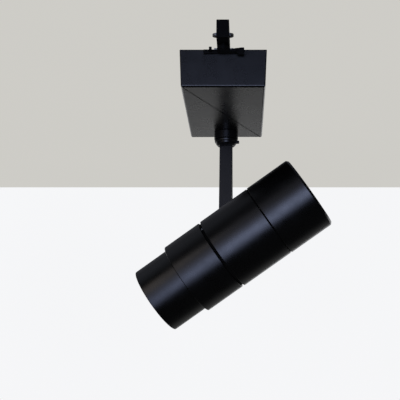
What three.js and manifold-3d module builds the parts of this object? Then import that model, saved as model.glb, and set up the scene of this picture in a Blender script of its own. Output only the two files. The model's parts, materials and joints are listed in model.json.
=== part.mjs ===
// Track spotlight with a driver housing, a side arm and a zooming cylindrical head.
// Millimetres, +Z up. The origin is on the pan axis, in the plane where the housing meets the track.
// +Y runs along the track, away from the track adapter's nose, and +X is to the right of it.

import * as THREE from "three";
import { mergeVertices } from "three/addons/utils/BufferGeometryUtils.js";
import Module from "manifold-3d";

const wasm = await Module();
wasm.setup();

// ---------- Driving dimensions ----------

const GAP = 0.3; // clearance between pieces that touch on the real object
const FINE = 48; // sides of the large round shells
const ROUND = 28; // sides of middle-sized round pieces
const SMALL = 14; // sides of screws, shafts and pins

const HOUSING = { width: 104, length: 210.2, height: 46, draft: 2, wall: 2.2, farEnd: 24.9 };
const LID = { thickness: 2.5, sideGap: 0.4 };
const LID_SCREW = { x: 44.5, endInset: 9, postRadius: 4, length: 12 };
const BOARD = { halfWidth: 38, near: -172, far: -34, top: -35.4, thickness: 1.6 };

const ADAPTER = { halfWidth: 7.4, near: -215.5, far: -60, bottom: 3, top: 25 };
const LEVER = { y: -196, discRadius: 6.8, top: -0.6, bottom: -5.8, reach: 25, shaftRadius: 2.6 };
const LEVER_TAB = { near: -193.4, far: -189.2, from: 17.4, bottom: -8.8, neckTop: -2.9 };
const CAM = { bottom: 12, thickness: 3, halfLength: 12.5, halfWidth: 4.2 };
const ROTOR = { ys: [-150, -105], radius: 6.2, bottom: 10, top: 16, reach: 12.2, bladeReach: 14 };
const DIAL = { y: -75, radius: 5.2, bottom: 21.3, top: 26.2 };

const COLLAR = { radius: 16.4, baseBottom: -56.6, hubTop: -57.6, bottom: -65.6 };
const HUB_OUTLINE = [[16, COLLAR.hubTop], [15.5, -60.4], [14.4, -60.9], [13.7, -63.3], [11.6, COLLAR.bottom]];
const SPIGOT = { radius: 8.4, bore: 5.4, bottom: -62.2 };
const STEM = { radius: 5, bore: 3.2, top: -29 };
const PAN_LOCK = { z: -60.8, headRadius: 2.2, shankRadius: 1.5, tip: 9.2, headFrom: 13.4, headTo: 18.2 };

const ARM = { width: 17.4, thickness: 6, top: -62.5, endRadius: 11, channelHalf: 5, channelFloor: -0.4 };
const LEAD = { radius: 0.75, spacing: 1.8, y: 0.5, top: -24, bottom: -174 };

const PAN_ANGLE = -10.76; // degrees about +Z, from the track to the head's plane
const TILT_ANGLE = 33.92; // degrees that the front of the head points below the horizontal
const PIVOT = { z: -200, fromFront: 111.8, aboveAxis: 24.9, toAxis: 56.4, boltRadius: 2.9 };

const HEAD = { ringRadius: 49, bodyRadius: 49.4, rearRadius: 49.8, barrelRadius: 44.5, length: 241.2 };
const STATION = { ringFront: 48.6, ringRear: 101.6, bodyFront: 104.7, bodyRear: 176.7, rearFront: 178 };
const NECK = { radius: 45.3, bore: 42.6, front: 92.5, flangeRear: 108 };
const BARREL = { bore: 42, mouth: 42.6, seatFront: 10, seatRear: 12.5, seatBore: 40, length: 62 };
const GUIDE = { radius: 41.6, bore: 39.4, front: 54, flangeRadius: 45.8, rear: 111 };
const SINK = { radius: 45.8, baseFront: 150, baseRear: 156, finRear: 226, coreRadius: 13, coreRear: 236.5 };
const FINS = { count: 18, thickness: 2.4, rootRadius: 13 };
const CAP = { radius: 46, front: 236.8, rear: 239.4, screwCircle: 8.5 };
const VENTS = { count: 14, inner: 20, outer: 40, width: 4 };
const STOP_SCREW = { station: 103.15, radius: 1.2, angle: 41, to: 48 };

// ---------- Finishes ----------

const FINISH = {
  satinBlack: { color: 0x15161a, roughness: 0.45, metalness: 0.2 },
  blackPlastic: { color: 0x0d0e11, roughness: 0.55, metalness: 0 },
  steel: { color: 0x9a9da1, roughness: 0.35, metalness: 0.9 },
  blackSteel: { color: 0x1b1c1f, roughness: 0.4, metalness: 0.7 },
  aluminium: { color: 0xb4b7ba, roughness: 0.4, metalness: 0.8 },
  copper: { color: 0xb87945, roughness: 0.3, metalness: 0.9 },
  board: { color: 0x1f5a35, roughness: 0.6, metalness: 0 },
  ferrite: { color: 0x2b2b2d, roughness: 0.7, metalness: 0 },
  capacitor: { color: 0x1d2a4a, roughness: 0.45, metalness: 0.1 },
  terminal: { color: 0xc9cbc6, roughness: 0.5, metalness: 0 },
  rubber: { color: 0x101010, roughness: 0.85, metalness: 0 },
  glass: { color: 0xe8eef0, roughness: 0.05, metalness: 0, transparent: true, opacity: 0.35 },
  mirror: { color: 0xdcdee0, roughness: 0.12, metalness: 1 },
  phosphor: { color: 0xe6c34a, roughness: 0.5, metalness: 0 },
  redSleeve: { color: 0x8e1d1a, roughness: 0.6, metalness: 0 },
  blackSleeve: { color: 0x121212, roughness: 0.6, metalness: 0 },
};

// ---------- Geometry helpers ----------

// Positions only, shared corners, no zero-area faces, and every face pointing out.
function closed(geometry) {
  const bare = geometry.clone();
  for (const name of Object.keys(bare.attributes)) {
    if (name !== "position") {
      bare.deleteAttribute(name);
    }
  }
  const merged = mergeVertices(bare, 1e-4);
  const source = merged.getIndex().array;
  const corner = [new THREE.Vector3(), new THREE.Vector3(), new THREE.Vector3()];
  const kept = [];
  let volume = 0;
  for (let i = 0; i < source.length; i += 3) {
    const face = [source[i], source[i + 1], source[i + 2]];
    if (new Set(face).size < 3) {
      continue;
    }
    face.forEach((vertex, n) => corner[n].fromBufferAttribute(merged.getAttribute("position"), vertex));
    volume += corner[0].dot(corner[1].clone().cross(corner[2]));
    kept.push(face);
  }
  merged.setIndex(kept.flatMap((face) => (volume < 0 ? [face[0], face[2], face[1]] : face)));
  return merged;
}

function toSolid(geometry) {
  const shape = closed(geometry);
  return new wasm.Manifold(new wasm.Mesh({
    numProp: 3,
    vertProperties: new Float32Array(shape.getAttribute("position").array),
    triVerts: new Uint32Array(shape.getIndex().array),
  }));
}

function fromSolid(solid) {
  const { vertProperties, triVerts } = solid.getMesh();
  const geometry = new THREE.BufferGeometry();
  geometry.setAttribute("position", new THREE.BufferAttribute(vertProperties, 3));
  geometry.setIndex(new THREE.BufferAttribute(triVerts, 1));
  return geometry;
}

function join(first, ...others) {
  return fromSolid(others.reduce((sum, other) => sum.add(toSolid(other)), toSolid(first)));
}

function cut(first, ...tools) {
  return fromSolid(tools.reduce((rest, tool) => rest.subtract(toSolid(tool)), toSolid(first)));
}

// A box given by its limits along each axis.
function block([x0, x1], [y0, y1], [z0, z1]) {
  const geometry = new THREE.BoxGeometry(x1 - x0, y1 - y0, z1 - z0);
  return geometry.translate((x0 + x1) / 2, (y0 + y1) / 2, (z0 + z1) / 2);
}

// A cylinder along one axis ("x", "y" or "z"), from one height to another, through a centre in the other two.
function rod(axis, radius, [from, to], [a, b] = [0, 0], sides = SMALL) {
  const geometry = new THREE.CylinderGeometry(radius, radius, to - from, sides);
  const middle = (from + to) / 2;
  if (axis === "x") {
    return geometry.rotateZ(-Math.PI / 2).translate(middle, a, b);
  }
  if (axis === "y") {
    return geometry.translate(a, middle, b);
  }
  return geometry.rotateX(Math.PI / 2).translate(a, b, middle);
}

// A body of revolution about "x" or "z" from [radius, height] points.
// The outline closes on itself or on the axis.
function turned(axis, outline, sides = ROUND) {
  const onAxis = outline[0][0] === 0 && outline.at(-1)[0] === 0;
  const points = (onAxis ? outline : [...outline, outline[0]]).map(([r, h]) => new THREE.Vector2(r, h));
  const geometry = new THREE.LatheGeometry(points, sides);
  return axis === "x" ? geometry.rotateZ(-Math.PI / 2) : geometry.rotateX(Math.PI / 2);
}

// A plain ring between two radii and two heights.
function ring(axis, inner, outer, [from, to], sides = ROUND) {
  return turned(axis, [[inner, from], [outer, from], [outer, to], [inner, to]], sides);
}

// A flat outline pushed up along +Z.
function extruded(points, [z0, z1]) {
  const shape = new THREE.Shape(points.map(([x, y]) => new THREE.Vector2(x, y)));
  return new THREE.ExtrudeGeometry(shape, { depth: z1 - z0, bevelEnabled: false }).translate(0, 0, z0);
}

// A convex lens face: points from the rim to the axis, bulging by `sag` away from `edge`.
function lensFace(radius, edge, sag, steps = 5) {
  const sphere = (radius * radius + sag * sag) / (2 * sag);
  const half = Math.asin(radius / sphere);
  return Array.from({ length: steps + 1 }, (_, i) => {
    const angle = half * (1 - i / steps);
    return [i === steps ? 0 : sphere * Math.sin(angle), edge + sphere * (Math.cos(angle) - Math.cos(half))];
  });
}

function turnedAboutX(geometry, degrees) {
  return geometry.rotateX(THREE.MathUtils.degToRad(degrees));
}

function addPart(group, name, geometry, finish) {
  const mesh = new THREE.Mesh(closed(geometry), new THREE.MeshStandardMaterial(finish));
  mesh.name = name;
  group.add(mesh);
  return mesh;
}

// ---------- Driver housing ----------

const SLOPE = HOUSING.draft / HOUSING.height;
const HOUSING_MID = HOUSING.farEnd - HOUSING.length / 2;
const HOUSING_NEAR = HOUSING.farEnd - HOUSING.length;
const FLOOR = HOUSING.wall - HOUSING.height;

// A block whose four sides lean in with the housing's draft, set in from its walls.
function drafted(inset, zTop, zBottom) {
  const geometry = new THREE.BoxGeometry(1, 1, 1);
  const position = geometry.getAttribute("position");
  for (let i = 0; i < position.count; i += 1) {
    const z = position.getZ(i) > 0 ? zTop : zBottom;
    const halfWidth = HOUSING.width / 2 - inset + SLOPE * z;
    const halfLength = HOUSING.length / 2 - inset + SLOPE * z;
    const x = Math.sign(position.getX(i)) * halfWidth;
    const y = HOUSING_MID + Math.sign(position.getY(i)) * halfLength;
    position.setXYZ(i, x, y, z);
  }
  return geometry;
}

const LID_SCREW_PLACES = [-1, 1].flatMap((side) => [
  [side * LID_SCREW.x, HOUSING_NEAR + LID_SCREW.endInset],
  [side * LID_SCREW.x, HOUSING.farEnd - LID_SCREW.endInset],
]);

function driverHousing() {
  const shell = cut(drafted(0, 0, -HOUSING.height), drafted(HOUSING.wall, 1, FLOOR));
  const posts = LID_SCREW_PLACES.map((place) =>
    rod("z", LID_SCREW.postRadius, [FLOOR - 1, -LID.thickness - GAP], place));
  const boardInset = 6;
  const standoffs = [-1, 1].flatMap((side) => [BOARD.near + boardInset, BOARD.far - boardInset].map((y) =>
    rod("z", 3, [FLOOR - 1, BOARD.top - BOARD.thickness - GAP], [side * (BOARD.halfWidth - 5), y])));
  const screwHoles = LID_SCREW_PLACES.map((place) => rod("z", 1.6, [-LID_SCREW.length - 2, 0], place));
  const stemHole = rod("z", STEM.radius + 0.6, [-HOUSING.height - 1, FLOOR + 1], [0, 0], ROUND);
  return cut(join(shell, ...posts, ...standoffs), ...screwHoles, stemHole);
}

function housingLid() {
  const halfWidth = HOUSING.width / 2 - HOUSING.wall - LID.sideGap - 0.1;
  const halfLength = HOUSING.length / 2 - HOUSING.wall - LID.sideGap - 0.1;
  const plate = block([-halfWidth, halfWidth], [HOUSING_MID - halfLength, HOUSING_MID + halfLength],
    [-LID.thickness, 0]);
  const sinks = LID_SCREW_PLACES.map(([x, y]) =>
    turned(
      "z",
      [[0, -LID.thickness - 1], [1.8, -LID.thickness - 1], [1.8, -1.9], [3.7, 0.1], [0, 0.1]],
      SMALL,
    )
      .translate(x, y, 0));
  const wireSlot = block([-3.5, 3.5], [-132, -122], [-LID.thickness - 1, 1]);
  return cut(plate, ...sinks, wireSlot);
}

// A countersunk screw with a hexagon socket, its head just below the lid's face.
function lidScrew([x, y]) {
  const head = -0.3;
  const body = turned("z", [
    [0, -LID_SCREW.length], [1.3, -LID_SCREW.length], [1.3, head - 1.7], [3, head], [0, head],
  ], SMALL);
  return cut(body, rod("z", 1.1, [head - 1.2, head + 1], [0, 0], 6)).translate(x, y, 0);
}

function transformer() {
  const base = BOARD.top + GAP;
  const core = block([-30, 0], [-101, -89], [base, base + 25]);
  const coil = block([-27, -3], [-107, -83], [base + 4, base + 21]);
  return join(core, coil);
}

// A screw terminal block with open wire entries along one side.
function terminalBlock(entries, y, [depth, height], towards) {
  const pitch = 7;
  const base = BOARD.top + GAP;
  const half = (entries * pitch) / 2 + 0.5;
  const body = block([-half, half], [y - depth / 2, y + depth / 2], [base, base + height]);
  const mouth = y + (towards * (depth + 1)) / 2;
  const end = mouth - towards * 8;
  const holes = Array.from({ length: entries }, (_, i) => {
    const x = (i - (entries - 1) / 2) * pitch;
    return block([x - 2, x + 2], [Math.min(mouth, end), Math.max(mouth, end)], [base + 2, base + 6]);
  });
  return cut(body, ...holes);
}

function buildHousing(group) {
  const base = BOARD.top + GAP;
  addPart(group, "driver_housing", driverHousing(), FINISH.satinBlack);
  addPart(group, "housing_lid", housingLid(), FINISH.satinBlack);
  LID_SCREW_PLACES.forEach((place, i) => {
    addPart(group, `lid_screw_${i + 1}`, lidScrew(place), FINISH.blackSteel);
  });
  addPart(group, "driver_board", block([-BOARD.halfWidth, BOARD.halfWidth], [BOARD.near, BOARD.far],
    [BOARD.top - BOARD.thickness, BOARD.top]), FINISH.board);
  addPart(group, "transformer", transformer(), FINISH.ferrite);
  addPart(group, "input_capacitor", rod("z", 9, [base, base + 25], [20, -140]), FINISH.capacitor);
  addPart(group, "output_capacitor", rod("z", 6.3, [base, base + 20], [18, -58]), FINISH.capacitor);
  addPart(group, "choke", ring("z", 5, 11, [base, base + 10], SMALL).translate(-20, -140, 0), FINISH.copper);
  addPart(group, "heat_spreader", join(
    block([33, 36], [-122, -72], [base, base + 28]),
    block([26, 34], [-122, -72], [base, base + 2.5]),
  ), FINISH.aluminium);
  addPart(group, "mains_terminal", terminalBlock(3, -163, [14, 12], -1), FINISH.terminal);
  addPart(group, "output_terminal", terminalBlock(2, -42, [12, 10], 1), FINISH.terminal);
}

// ---------- Track adapter ----------

function adapterBody() {
  const w = ADAPTER.halfWidth;
  const beam = block([-w, w], [ADAPTER.near, ADAPTER.far], [ADAPTER.bottom, ADAPTER.top]);
  const foot = block([-w, w], [HOUSING_NEAR + 1.8, ADAPTER.far], [GAP, ADAPTER.bottom + 1]);
  const camPocket = block([-w - 1, w + 1], [LEVER.y - CAM.halfLength - 1, LEVER.y + CAM.halfLength + 1],
    [CAM.bottom - GAP, CAM.bottom + CAM.thickness + GAP]);
  const shaftBore = rod("z", LEVER.shaftRadius + GAP, [ADAPTER.bottom - 1, CAM.bottom + 0.5], [0, LEVER.y]);
  const rotorPockets = ROTOR.ys.map((y) =>
    block([-w - 1, w + 1], [y - ROTOR.bladeReach - 0.6, y + ROTOR.bladeReach + 0.6],
      [ROTOR.bottom - GAP, ROTOR.top + GAP]));
  const pivots = ROTOR.ys.map((y) => rod("z", 2.3, [ROTOR.bottom - 3.3, ROTOR.top + 3.3], [0, y]));
  const dialWell = rod("z", DIAL.radius + GAP, [DIAL.bottom - GAP, ADAPTER.top + 1], [0, DIAL.y], ROUND);
  const wireWell = block([-3, 3], [-130, -124], [-1, 8]);
  return cut(join(beam, foot), camPocket, shaftBore, ...rotorPockets, ...pivots, dialWell, wireWell);
}

// The plastic yoke below the adapter's nose, with a tongue up to it and a finger lug on its left.
function adapterEndPlate() {
  const back = HOUSING_NEAR - GAP;
  const front = back - 3;
  return join(
    block([-23.4, 17], [front, back], [-5.8, -1]),
    block([-6, 6], [front, back], [-1.5, ADAPTER.bottom - GAP]),
    block([-16.6, -13.4], [front - 8, front + 0.5], [-4.5, -0.8]),
  );
}

// A disc under the adapter's nose with a finger tab that hangs from a rising neck, and a shaft up to the cam.
function lockLever() {
  const { y, top, bottom, reach } = LEVER;
  const { near, far, from, neckTop } = LEVER_TAB;
  const side = [
    [0, bottom + 0.2], [from - 1.4, bottom + 0.2],
    [from, LEVER_TAB.bottom + 0.4], [from + 1, LEVER_TAB.bottom],
    [reach - 0.8, LEVER_TAB.bottom], [reach, LEVER_TAB.bottom + 1], [reach, top], [reach - 2.4, top + 0.3],
    [from - 3, top - 0.9], [from - 9, neckTop], [0, neckTop],
  ];
  return join(
    rod("z", LEVER.discRadius, [bottom, top], [0, y], ROUND),
    extruded(side, [-far, -near]).rotateX(Math.PI / 2),
    rod("z", LEVER.shaftRadius, [bottom + 0.5, CAM.bottom + CAM.thickness], [0, y]),
  );
}

function lockCam() {
  const arcSteps = 6;
  const centre = CAM.halfLength - CAM.halfWidth;
  const outline = [1, -1].flatMap((side) => Array.from({ length: arcSteps + 1 }, (_, i) => {
    const angle = (-0.5 + i / arcSteps) * Math.PI + (side < 0 ? Math.PI : 0);
    return [side * centre + CAM.halfWidth * Math.cos(angle), CAM.halfWidth * Math.sin(angle)];
  }));
  const plate = extruded(outline, [CAM.bottom, CAM.bottom + CAM.thickness - 0.1]);
  return cut(plate, rod("z", LEVER.shaftRadius + GAP, [CAM.bottom - 1, CAM.bottom + CAM.thickness + 1]))
    .translate(0, LEVER.y, 0);
}

const BLADE_HALF_WIDTH = 2;
const BLADE_LEVELS = [12.5, 13.5];

function contactRotor(y) {
  const slotHalf = BLADE_HALF_WIDTH + GAP;
  const body = join(
    rod("z", ROTOR.radius, [ROTOR.bottom, ROTOR.top], [0, 0], ROUND),
    block([-ROTOR.reach, ROTOR.reach], [-3.6, 3.6], [ROTOR.bottom + 0.6, ROTOR.top - 0.6]),
    rod("z", 2, [ROTOR.bottom - 3, ROTOR.top + 3]),
  );
  const slot = block([-ROTOR.reach - 1, ROTOR.reach + 1], [-slotHalf, slotHalf],
    [BLADE_LEVELS[0] - GAP, BLADE_LEVELS[1] + GAP]);
  return cut(body, slot).translate(0, y, 0);
}

function contactBlade(y) {
  const { bladeReach } = ROTOR;
  return block([-bladeReach, bladeReach], [y - BLADE_HALF_WIDTH, y + BLADE_HALF_WIDTH], BLADE_LEVELS);
}

function circuitDial() {
  const knob = rod("z", DIAL.radius, [DIAL.bottom, DIAL.top], [0, DIAL.y], ROUND);
  const slot = block([-0.6, 0.6], [DIAL.y - 3.6, DIAL.y + 3.6], [DIAL.top - 1.2, DIAL.top + 1]);
  return cut(knob, slot);
}

function buildAdapter(group) {
  addPart(group, "adapter_body", adapterBody(), FINISH.blackPlastic);
  addPart(group, "adapter_end_plate", adapterEndPlate(), FINISH.blackPlastic);
  addPart(group, "lock_lever", lockLever(), FINISH.blackPlastic);
  addPart(group, "lock_cam", lockCam(), FINISH.steel);
  ["front", "rear"].forEach((end, i) => {
    addPart(group, `contact_rotor_${end}`, contactRotor(ROTOR.ys[i]), FINISH.terminal);
    addPart(group, `contact_blade_${end}`, contactBlade(ROTOR.ys[i]), FINISH.copper);
  });
  addPart(group, "circuit_dial", circuitDial(), FINISH.terminal);
}

// ---------- Pan swivel ----------

function swivelBase() {
  const top = -HOUSING.height - GAP;
  return turned("z", [
    [SPIGOT.bore, top], [COLLAR.radius, top], [COLLAR.radius, COLLAR.baseBottom],
    [SPIGOT.radius, COLLAR.baseBottom], [SPIGOT.radius, SPIGOT.bottom], [SPIGOT.bore, SPIGOT.bottom],
  ]);
}

function swivelHub() {
  const inner = SPIGOT.radius + 0.4;
  const discTop = SPIGOT.bottom - 0.6;
  const cup = turned("z", [
    [0, discTop], [inner, discTop], [inner, COLLAR.hubTop], ...HUB_OUTLINE, [0, COLLAR.bottom],
  ]);
  const armSlot = block([-ARM.width / 2 - GAP, ARM.width / 2 + GAP],
    [-ARM.thickness / 2 - GAP, ARM.thickness / 2 + GAP], [COLLAR.bottom - 1, discTop + 1]);
  const shankBore = rod("x", PAN_LOCK.shankRadius + GAP, [inner - 1, COLLAR.radius + 1], [0, PAN_LOCK.z]);
  const headSeat = rod("x", PAN_LOCK.headRadius + GAP, [PAN_LOCK.headFrom - GAP, COLLAR.radius + 2],
    [0, PAN_LOCK.z]);
  return cut(cup, armSlot, shankBore, headSeat);
}

function panLockScrew() {
  const { z, headRadius, shankRadius, tip, headFrom, headTo } = PAN_LOCK;
  const screw = join(
    rod("x", headRadius, [headFrom, headTo], [0, z]),
    rod("x", shankRadius, [tip, headFrom + 1], [0, z]),
  );
  return cut(screw, rod("x", 1.4, [headTo - 1.6, headTo + 1], [0, z], 6));
}

function buildSwivel(fixed, panning) {
  const brakeTop = COLLAR.baseBottom - GAP;
  const washerBottom = FLOOR + GAP;
  const nutBottom = washerBottom + 1.6;
  addPart(fixed, "swivel_base", swivelBase(), FINISH.satinBlack);
  const brakeLevels = [COLLAR.hubTop + GAP, brakeTop];
  addPart(fixed, "brake_ring", ring("z", SPIGOT.radius + 0.4, COLLAR.radius - 1, brakeLevels),
    FINISH.rubber);
  addPart(panning, "swivel_hub", swivelHub(), FINISH.satinBlack);
  addPart(panning, "pan_lock_screw", panLockScrew(), FINISH.blackSteel);
  const springLevels = [washerBottom, washerBottom + 1.3];
  addPart(panning, "pan_spring_washer", ring("z", STEM.radius + GAP, 9.4, springLevels, SMALL),
    FINISH.steel);
  addPart(panning, "pan_nut", cut(
    rod("z", 9.6, [nutBottom, nutBottom + 6], [0, 0], 6),
    rod("z", STEM.radius + GAP, [nutBottom - 1, nutBottom + 7], [0, 0], ROUND),
  ), FINISH.steel);
}

// ---------- Side arm ----------

const CHANNEL_TOP = COLLAR.bottom - 2.6;
const CHANNEL_BOTTOM = PIVOT.z + 22;

// A flat bar with a wiring channel in its outer face, a round end at the tilt pivot and a hollow stem on top.
function arm() {
  const halfWidth = ARM.width / 2;
  const halfDepth = ARM.thickness / 2;
  const bar = block([-halfWidth, halfWidth], [-halfDepth, halfDepth], [PIVOT.z, ARM.top]);
  const end = rod("y", ARM.endRadius, [-halfDepth, halfDepth], [0, PIVOT.z], ROUND);
  const stem = rod("z", STEM.radius, [ARM.top - 0.1, STEM.top], [0, 0], ROUND);
  const channel = block([-ARM.channelHalf, ARM.channelHalf], [ARM.channelFloor, halfDepth + 1],
    [CHANNEL_BOTTOM, CHANNEL_TOP]);
  const stemBore = rod("z", STEM.bore, [ARM.top + 1.5, STEM.top + 1]);
  const throat = rod("z", 2.2, [CHANNEL_TOP - 2, ARM.top + 2]);
  const pivotBore = rod("y", PIVOT.boltRadius + 0.5, [-halfDepth - 1, halfDepth + 1], [0, PIVOT.z]);
  return cut(join(bar, end, stem), channel, stemBore, throat, pivotBore);
}

function armCover() {
  const halfWidth = ARM.channelHalf - GAP;
  return block([-halfWidth, halfWidth], [ARM.thickness / 2 - 1.4, ARM.thickness / 2],
    [CHANNEL_BOTTOM + GAP, CHANNEL_TOP - GAP]);
}

function buildArm(panning) {
  addPart(panning, "arm", arm(), FINISH.satinBlack);
  addPart(panning, "arm_cover", armCover(), FINISH.blackPlastic);
  [["arm_lead_red", -0.5, FINISH.redSleeve], ["arm_lead_black", 0.5, FINISH.blackSleeve]].forEach(
    ([name, side, finish]) => {
      const lead = rod("z", LEAD.radius, [LEAD.bottom, LEAD.top], [side * LEAD.spacing, LEAD.y], 10);
      addPart(panning, name, lead, finish);
    });
}

// ---------- Tilt pivot, in the tilting head's frame with the pivot at its origin ----------

const ARM_FACE = ARM.thickness / 2;
const WASHER_FACES = [-ARM_FACE - GAP - 1.6, -ARM_FACE - GAP];
const BLOCK_FACE = WASHER_FACES[0] - GAP;
const BOLT_TIP = -12;

// The lug that carries the head, hollowed on its inside to sit on the round body.
function hingeBlock() {
  const lug = block([-6.4, 16], [-23, BLOCK_FACE], [-10, 10]);
  const seat = rod("x", HEAD.bodyRadius + GAP, [-30, 40], [-PIVOT.toAxis, -PIVOT.aboveAxis], FINE);
  const bore = rod("y", PIVOT.boltRadius + GAP, [BOLT_TIP - GAP, BLOCK_FACE + 1]);
  return cut(lug, seat, bore);
}

function tiltBolt() {
  const headFrom = ARM_FACE + 1.9;
  const headTo = headFrom + 4.6;
  const bolt = join(
    rod("y", 6.5, [headFrom, headTo], [0, 0], ROUND),
    rod("y", PIVOT.boltRadius, [BOLT_TIP, headFrom + 1]),
  );
  return cut(bolt, rod("y", 2.9, [headTo - 2.6, headTo + 1], [0, 0], 6));
}

function ringAlongY(inner, outer, [from, to]) {
  return cut(rod("y", outer, [from, to], [0, 0], ROUND), rod("y", inner, [from - 1, to + 1]));
}

function buildPivot(panning, tilting) {
  addPart(tilting, "hinge_block", hingeBlock(), FINISH.satinBlack);
  addPart(tilting, "tilt_washer", ringAlongY(PIVOT.boltRadius + 0.5, 10, WASHER_FACES), FINISH.blackPlastic);
  const boltSide = new THREE.Group();
  boltSide.position.z = PIVOT.z;
  panning.add(boltSide);
  addPart(boltSide, "tilt_bolt", tiltBolt(), FINISH.blackSteel);
  const springSpan = [ARM_FACE + GAP, ARM_FACE + 1.6];
  addPart(boltSide, "tilt_disc_spring", ringAlongY(PIVOT.boltRadius + 0.5, 6.8, springSpan),
    FINISH.steel);
}

// ---------- Head, in a frame with X along its axis from the front rim to the rear ----------

// A ring in the groove between zoom ring and body, notched where the stop screw stands.
function dustSeal() {
  const outer = NECK.radius + 1.3;
  const { station, radius, angle } = STOP_SCREW;
  return cut(
    ring("x", NECK.radius + GAP, outer, [STATION.ringRear + GAP, STATION.bodyFront - GAP]),
    radialRod(radius + GAP, [NECK.radius, outer + 1], station, 90 - angle),
  );
}

function bodyShell() {
  const { bodyFront, bodyRear } = STATION;
  const wall = 3.2;
  return turned("x", [
    [NECK.bore, NECK.front], [NECK.radius, NECK.front],
    [NECK.radius, bodyFront], [HEAD.bodyRadius, bodyFront], [HEAD.bodyRadius, bodyRear],
    [HEAD.bodyRadius - wall, bodyRear], [HEAD.bodyRadius - wall, NECK.flangeRear],
    [NECK.bore, NECK.flangeRear],
  ], FINE);
}

function rearHousing() {
  const bore = SINK.radius + 0.6;
  return turned("x", [
    [bore, STATION.rearFront], [HEAD.rearRadius, STATION.rearFront], [HEAD.rearRadius, HEAD.length - 2.5],
    [HEAD.rearRadius - 2.7, HEAD.length], [bore, HEAD.length],
  ], FINE);
}

// Radial fins around a core, on a round base that carries the light source.
function heatSink() {
  const halfFin = FINS.thickness / 2;
  const outline = Array.from({ length: FINS.count }, (_, i) => {
    const angle = (i / FINS.count) * Math.PI * 2;
    const corners = [[FINS.rootRadius, -halfFin], [SINK.radius, -halfFin], [SINK.radius, halfFin],
      [FINS.rootRadius, halfFin]];
    return corners.map(([r, side]) => [
      r * Math.cos(angle) - side * Math.sin(angle),
      r * Math.sin(angle) + side * Math.cos(angle),
    ]);
  }).flat();
  const fins = extruded(outline, [SINK.baseRear - 0.5, SINK.finRear]).rotateY(Math.PI / 2);
  const base = rod("x", SINK.radius, [SINK.baseFront, SINK.baseRear], [0, 0], FINE);
  const core = rod("x", SINK.coreRadius, [SINK.baseRear - 1, SINK.coreRear], [0, 0], ROUND);
  return cut(join(base, fins, core), ...capScrewPlaces().map((place) =>
    rod("x", 1.6, [SINK.coreRear - 10, SINK.coreRear + 1], place, 12)));
}

function capScrewPlaces() {
  return [90, 210, 330].map((degrees) => {
    const angle = THREE.MathUtils.degToRad(degrees);
    return [CAP.screwCircle * Math.cos(angle), CAP.screwCircle * Math.sin(angle)];
  });
}

function rearCap() {
  const disc = rod("x", CAP.radius, [CAP.front, CAP.rear], [0, 0], FINE);
  const vents = Array.from({ length: VENTS.count }, (_, i) => {
    const slot = block([CAP.front - 1, CAP.rear + 1], [-VENTS.width / 2, VENTS.width / 2],
      [VENTS.inner, VENTS.outer]);
    return turnedAboutX(slot, (i * 360) / VENTS.count);
  });
  const holes = capScrewPlaces().map((place) => rod("x", 1.9, [CAP.front - 1, CAP.rear + 1], place, 12));
  return cut(disc, ...vents, ...holes);
}

function capScrew(place) {
  const seat = CAP.rear + GAP;
  return join(
    rod("x", 2.8, [seat, seat + 1.4], place),
    rod("x", 1.3, [SINK.coreRear - 8, seat + 0.5], place, 12),
  );
}

function reflector() {
  const steps = 6;
  const [throat, mouth] = [11, 36];
  const [rear, front] = [143.6, 114];
  const wall = 1.2;
  const curve = Array.from({ length: steps + 1 }, (_, i) => {
    const t = i / steps;
    return [throat + (mouth - throat) * Math.sqrt(t), rear + (front - rear) * t];
  });
  const outside = curve.map(([r, x]) => [r + wall, x]).reverse();
  return turned("x", [...curve, ...outside]);
}

function guideTube() {
  const lip = 2;
  const seat = 94;
  const flangeFront = NECK.flangeRear + GAP;
  return turned("x", [
    [GUIDE.bore, GUIDE.front], [GUIDE.radius, GUIDE.front], [GUIDE.radius, flangeFront],
    [GUIDE.flangeRadius, flangeFront], [GUIDE.flangeRadius, GUIDE.rear], [GUIDE.bore, GUIDE.rear],
    [GUIDE.bore, seat + lip], [GUIDE.bore - lip, seat + lip], [GUIDE.bore - lip, seat], [GUIDE.bore, seat],
  ], ROUND);
}

// A plano-convex lens: flat face at `flat`, rim `edge` thick, bulging by `sag` on its other side.
function lens(radius, flat, edge, sag) {
  return turned("x", [[0, flat], [radius, flat], ...lensFace(radius, flat + edge, sag)]);
}

function zoomRing() {
  const bore = 46.2;
  return turned("x", [
    [HEAD.barrelRadius + 0.4, STATION.ringFront], [HEAD.ringRadius, STATION.ringFront],
    [HEAD.ringRadius, STATION.ringRear], [NECK.radius + 0.4, STATION.ringRear],
    [NECK.radius + 0.4, STATION.ringRear - 4], [bore, STATION.ringRear - 4],
    [bore, STATION.ringFront + 3], [HEAD.barrelRadius + 0.4, STATION.ringFront + 3],
  ], FINE);
}

const CAM_PIN = { station: 57, radius: 2, angles: [30, 150, 270], from: 42.3, to: 45.8 };

function radialRod(radius, [from, to], station, angle, sides = SMALL) {
  return turnedAboutX(rod("z", radius, [from, to], [station, 0], sides), angle);
}

function frontBarrel() {
  const tube = turned("x", [
    [BARREL.mouth, 0], [HEAD.barrelRadius - 0.8, 0],
    [HEAD.barrelRadius, 0.8], [HEAD.barrelRadius, BARREL.length],
    [BARREL.bore, BARREL.length], [BARREL.bore, BARREL.seatRear], [BARREL.seatBore, BARREL.seatRear],
    [BARREL.seatBore, BARREL.seatFront], [BARREL.mouth, BARREL.seatFront],
  ], FINE);
  const holes = CAM_PIN.angles.map((angle) =>
    radialRod(CAM_PIN.radius + GAP, [BARREL.bore - 2, HEAD.barrelRadius + 2], CAM_PIN.station, angle));
  return cut(tube, ...holes);
}

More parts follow.
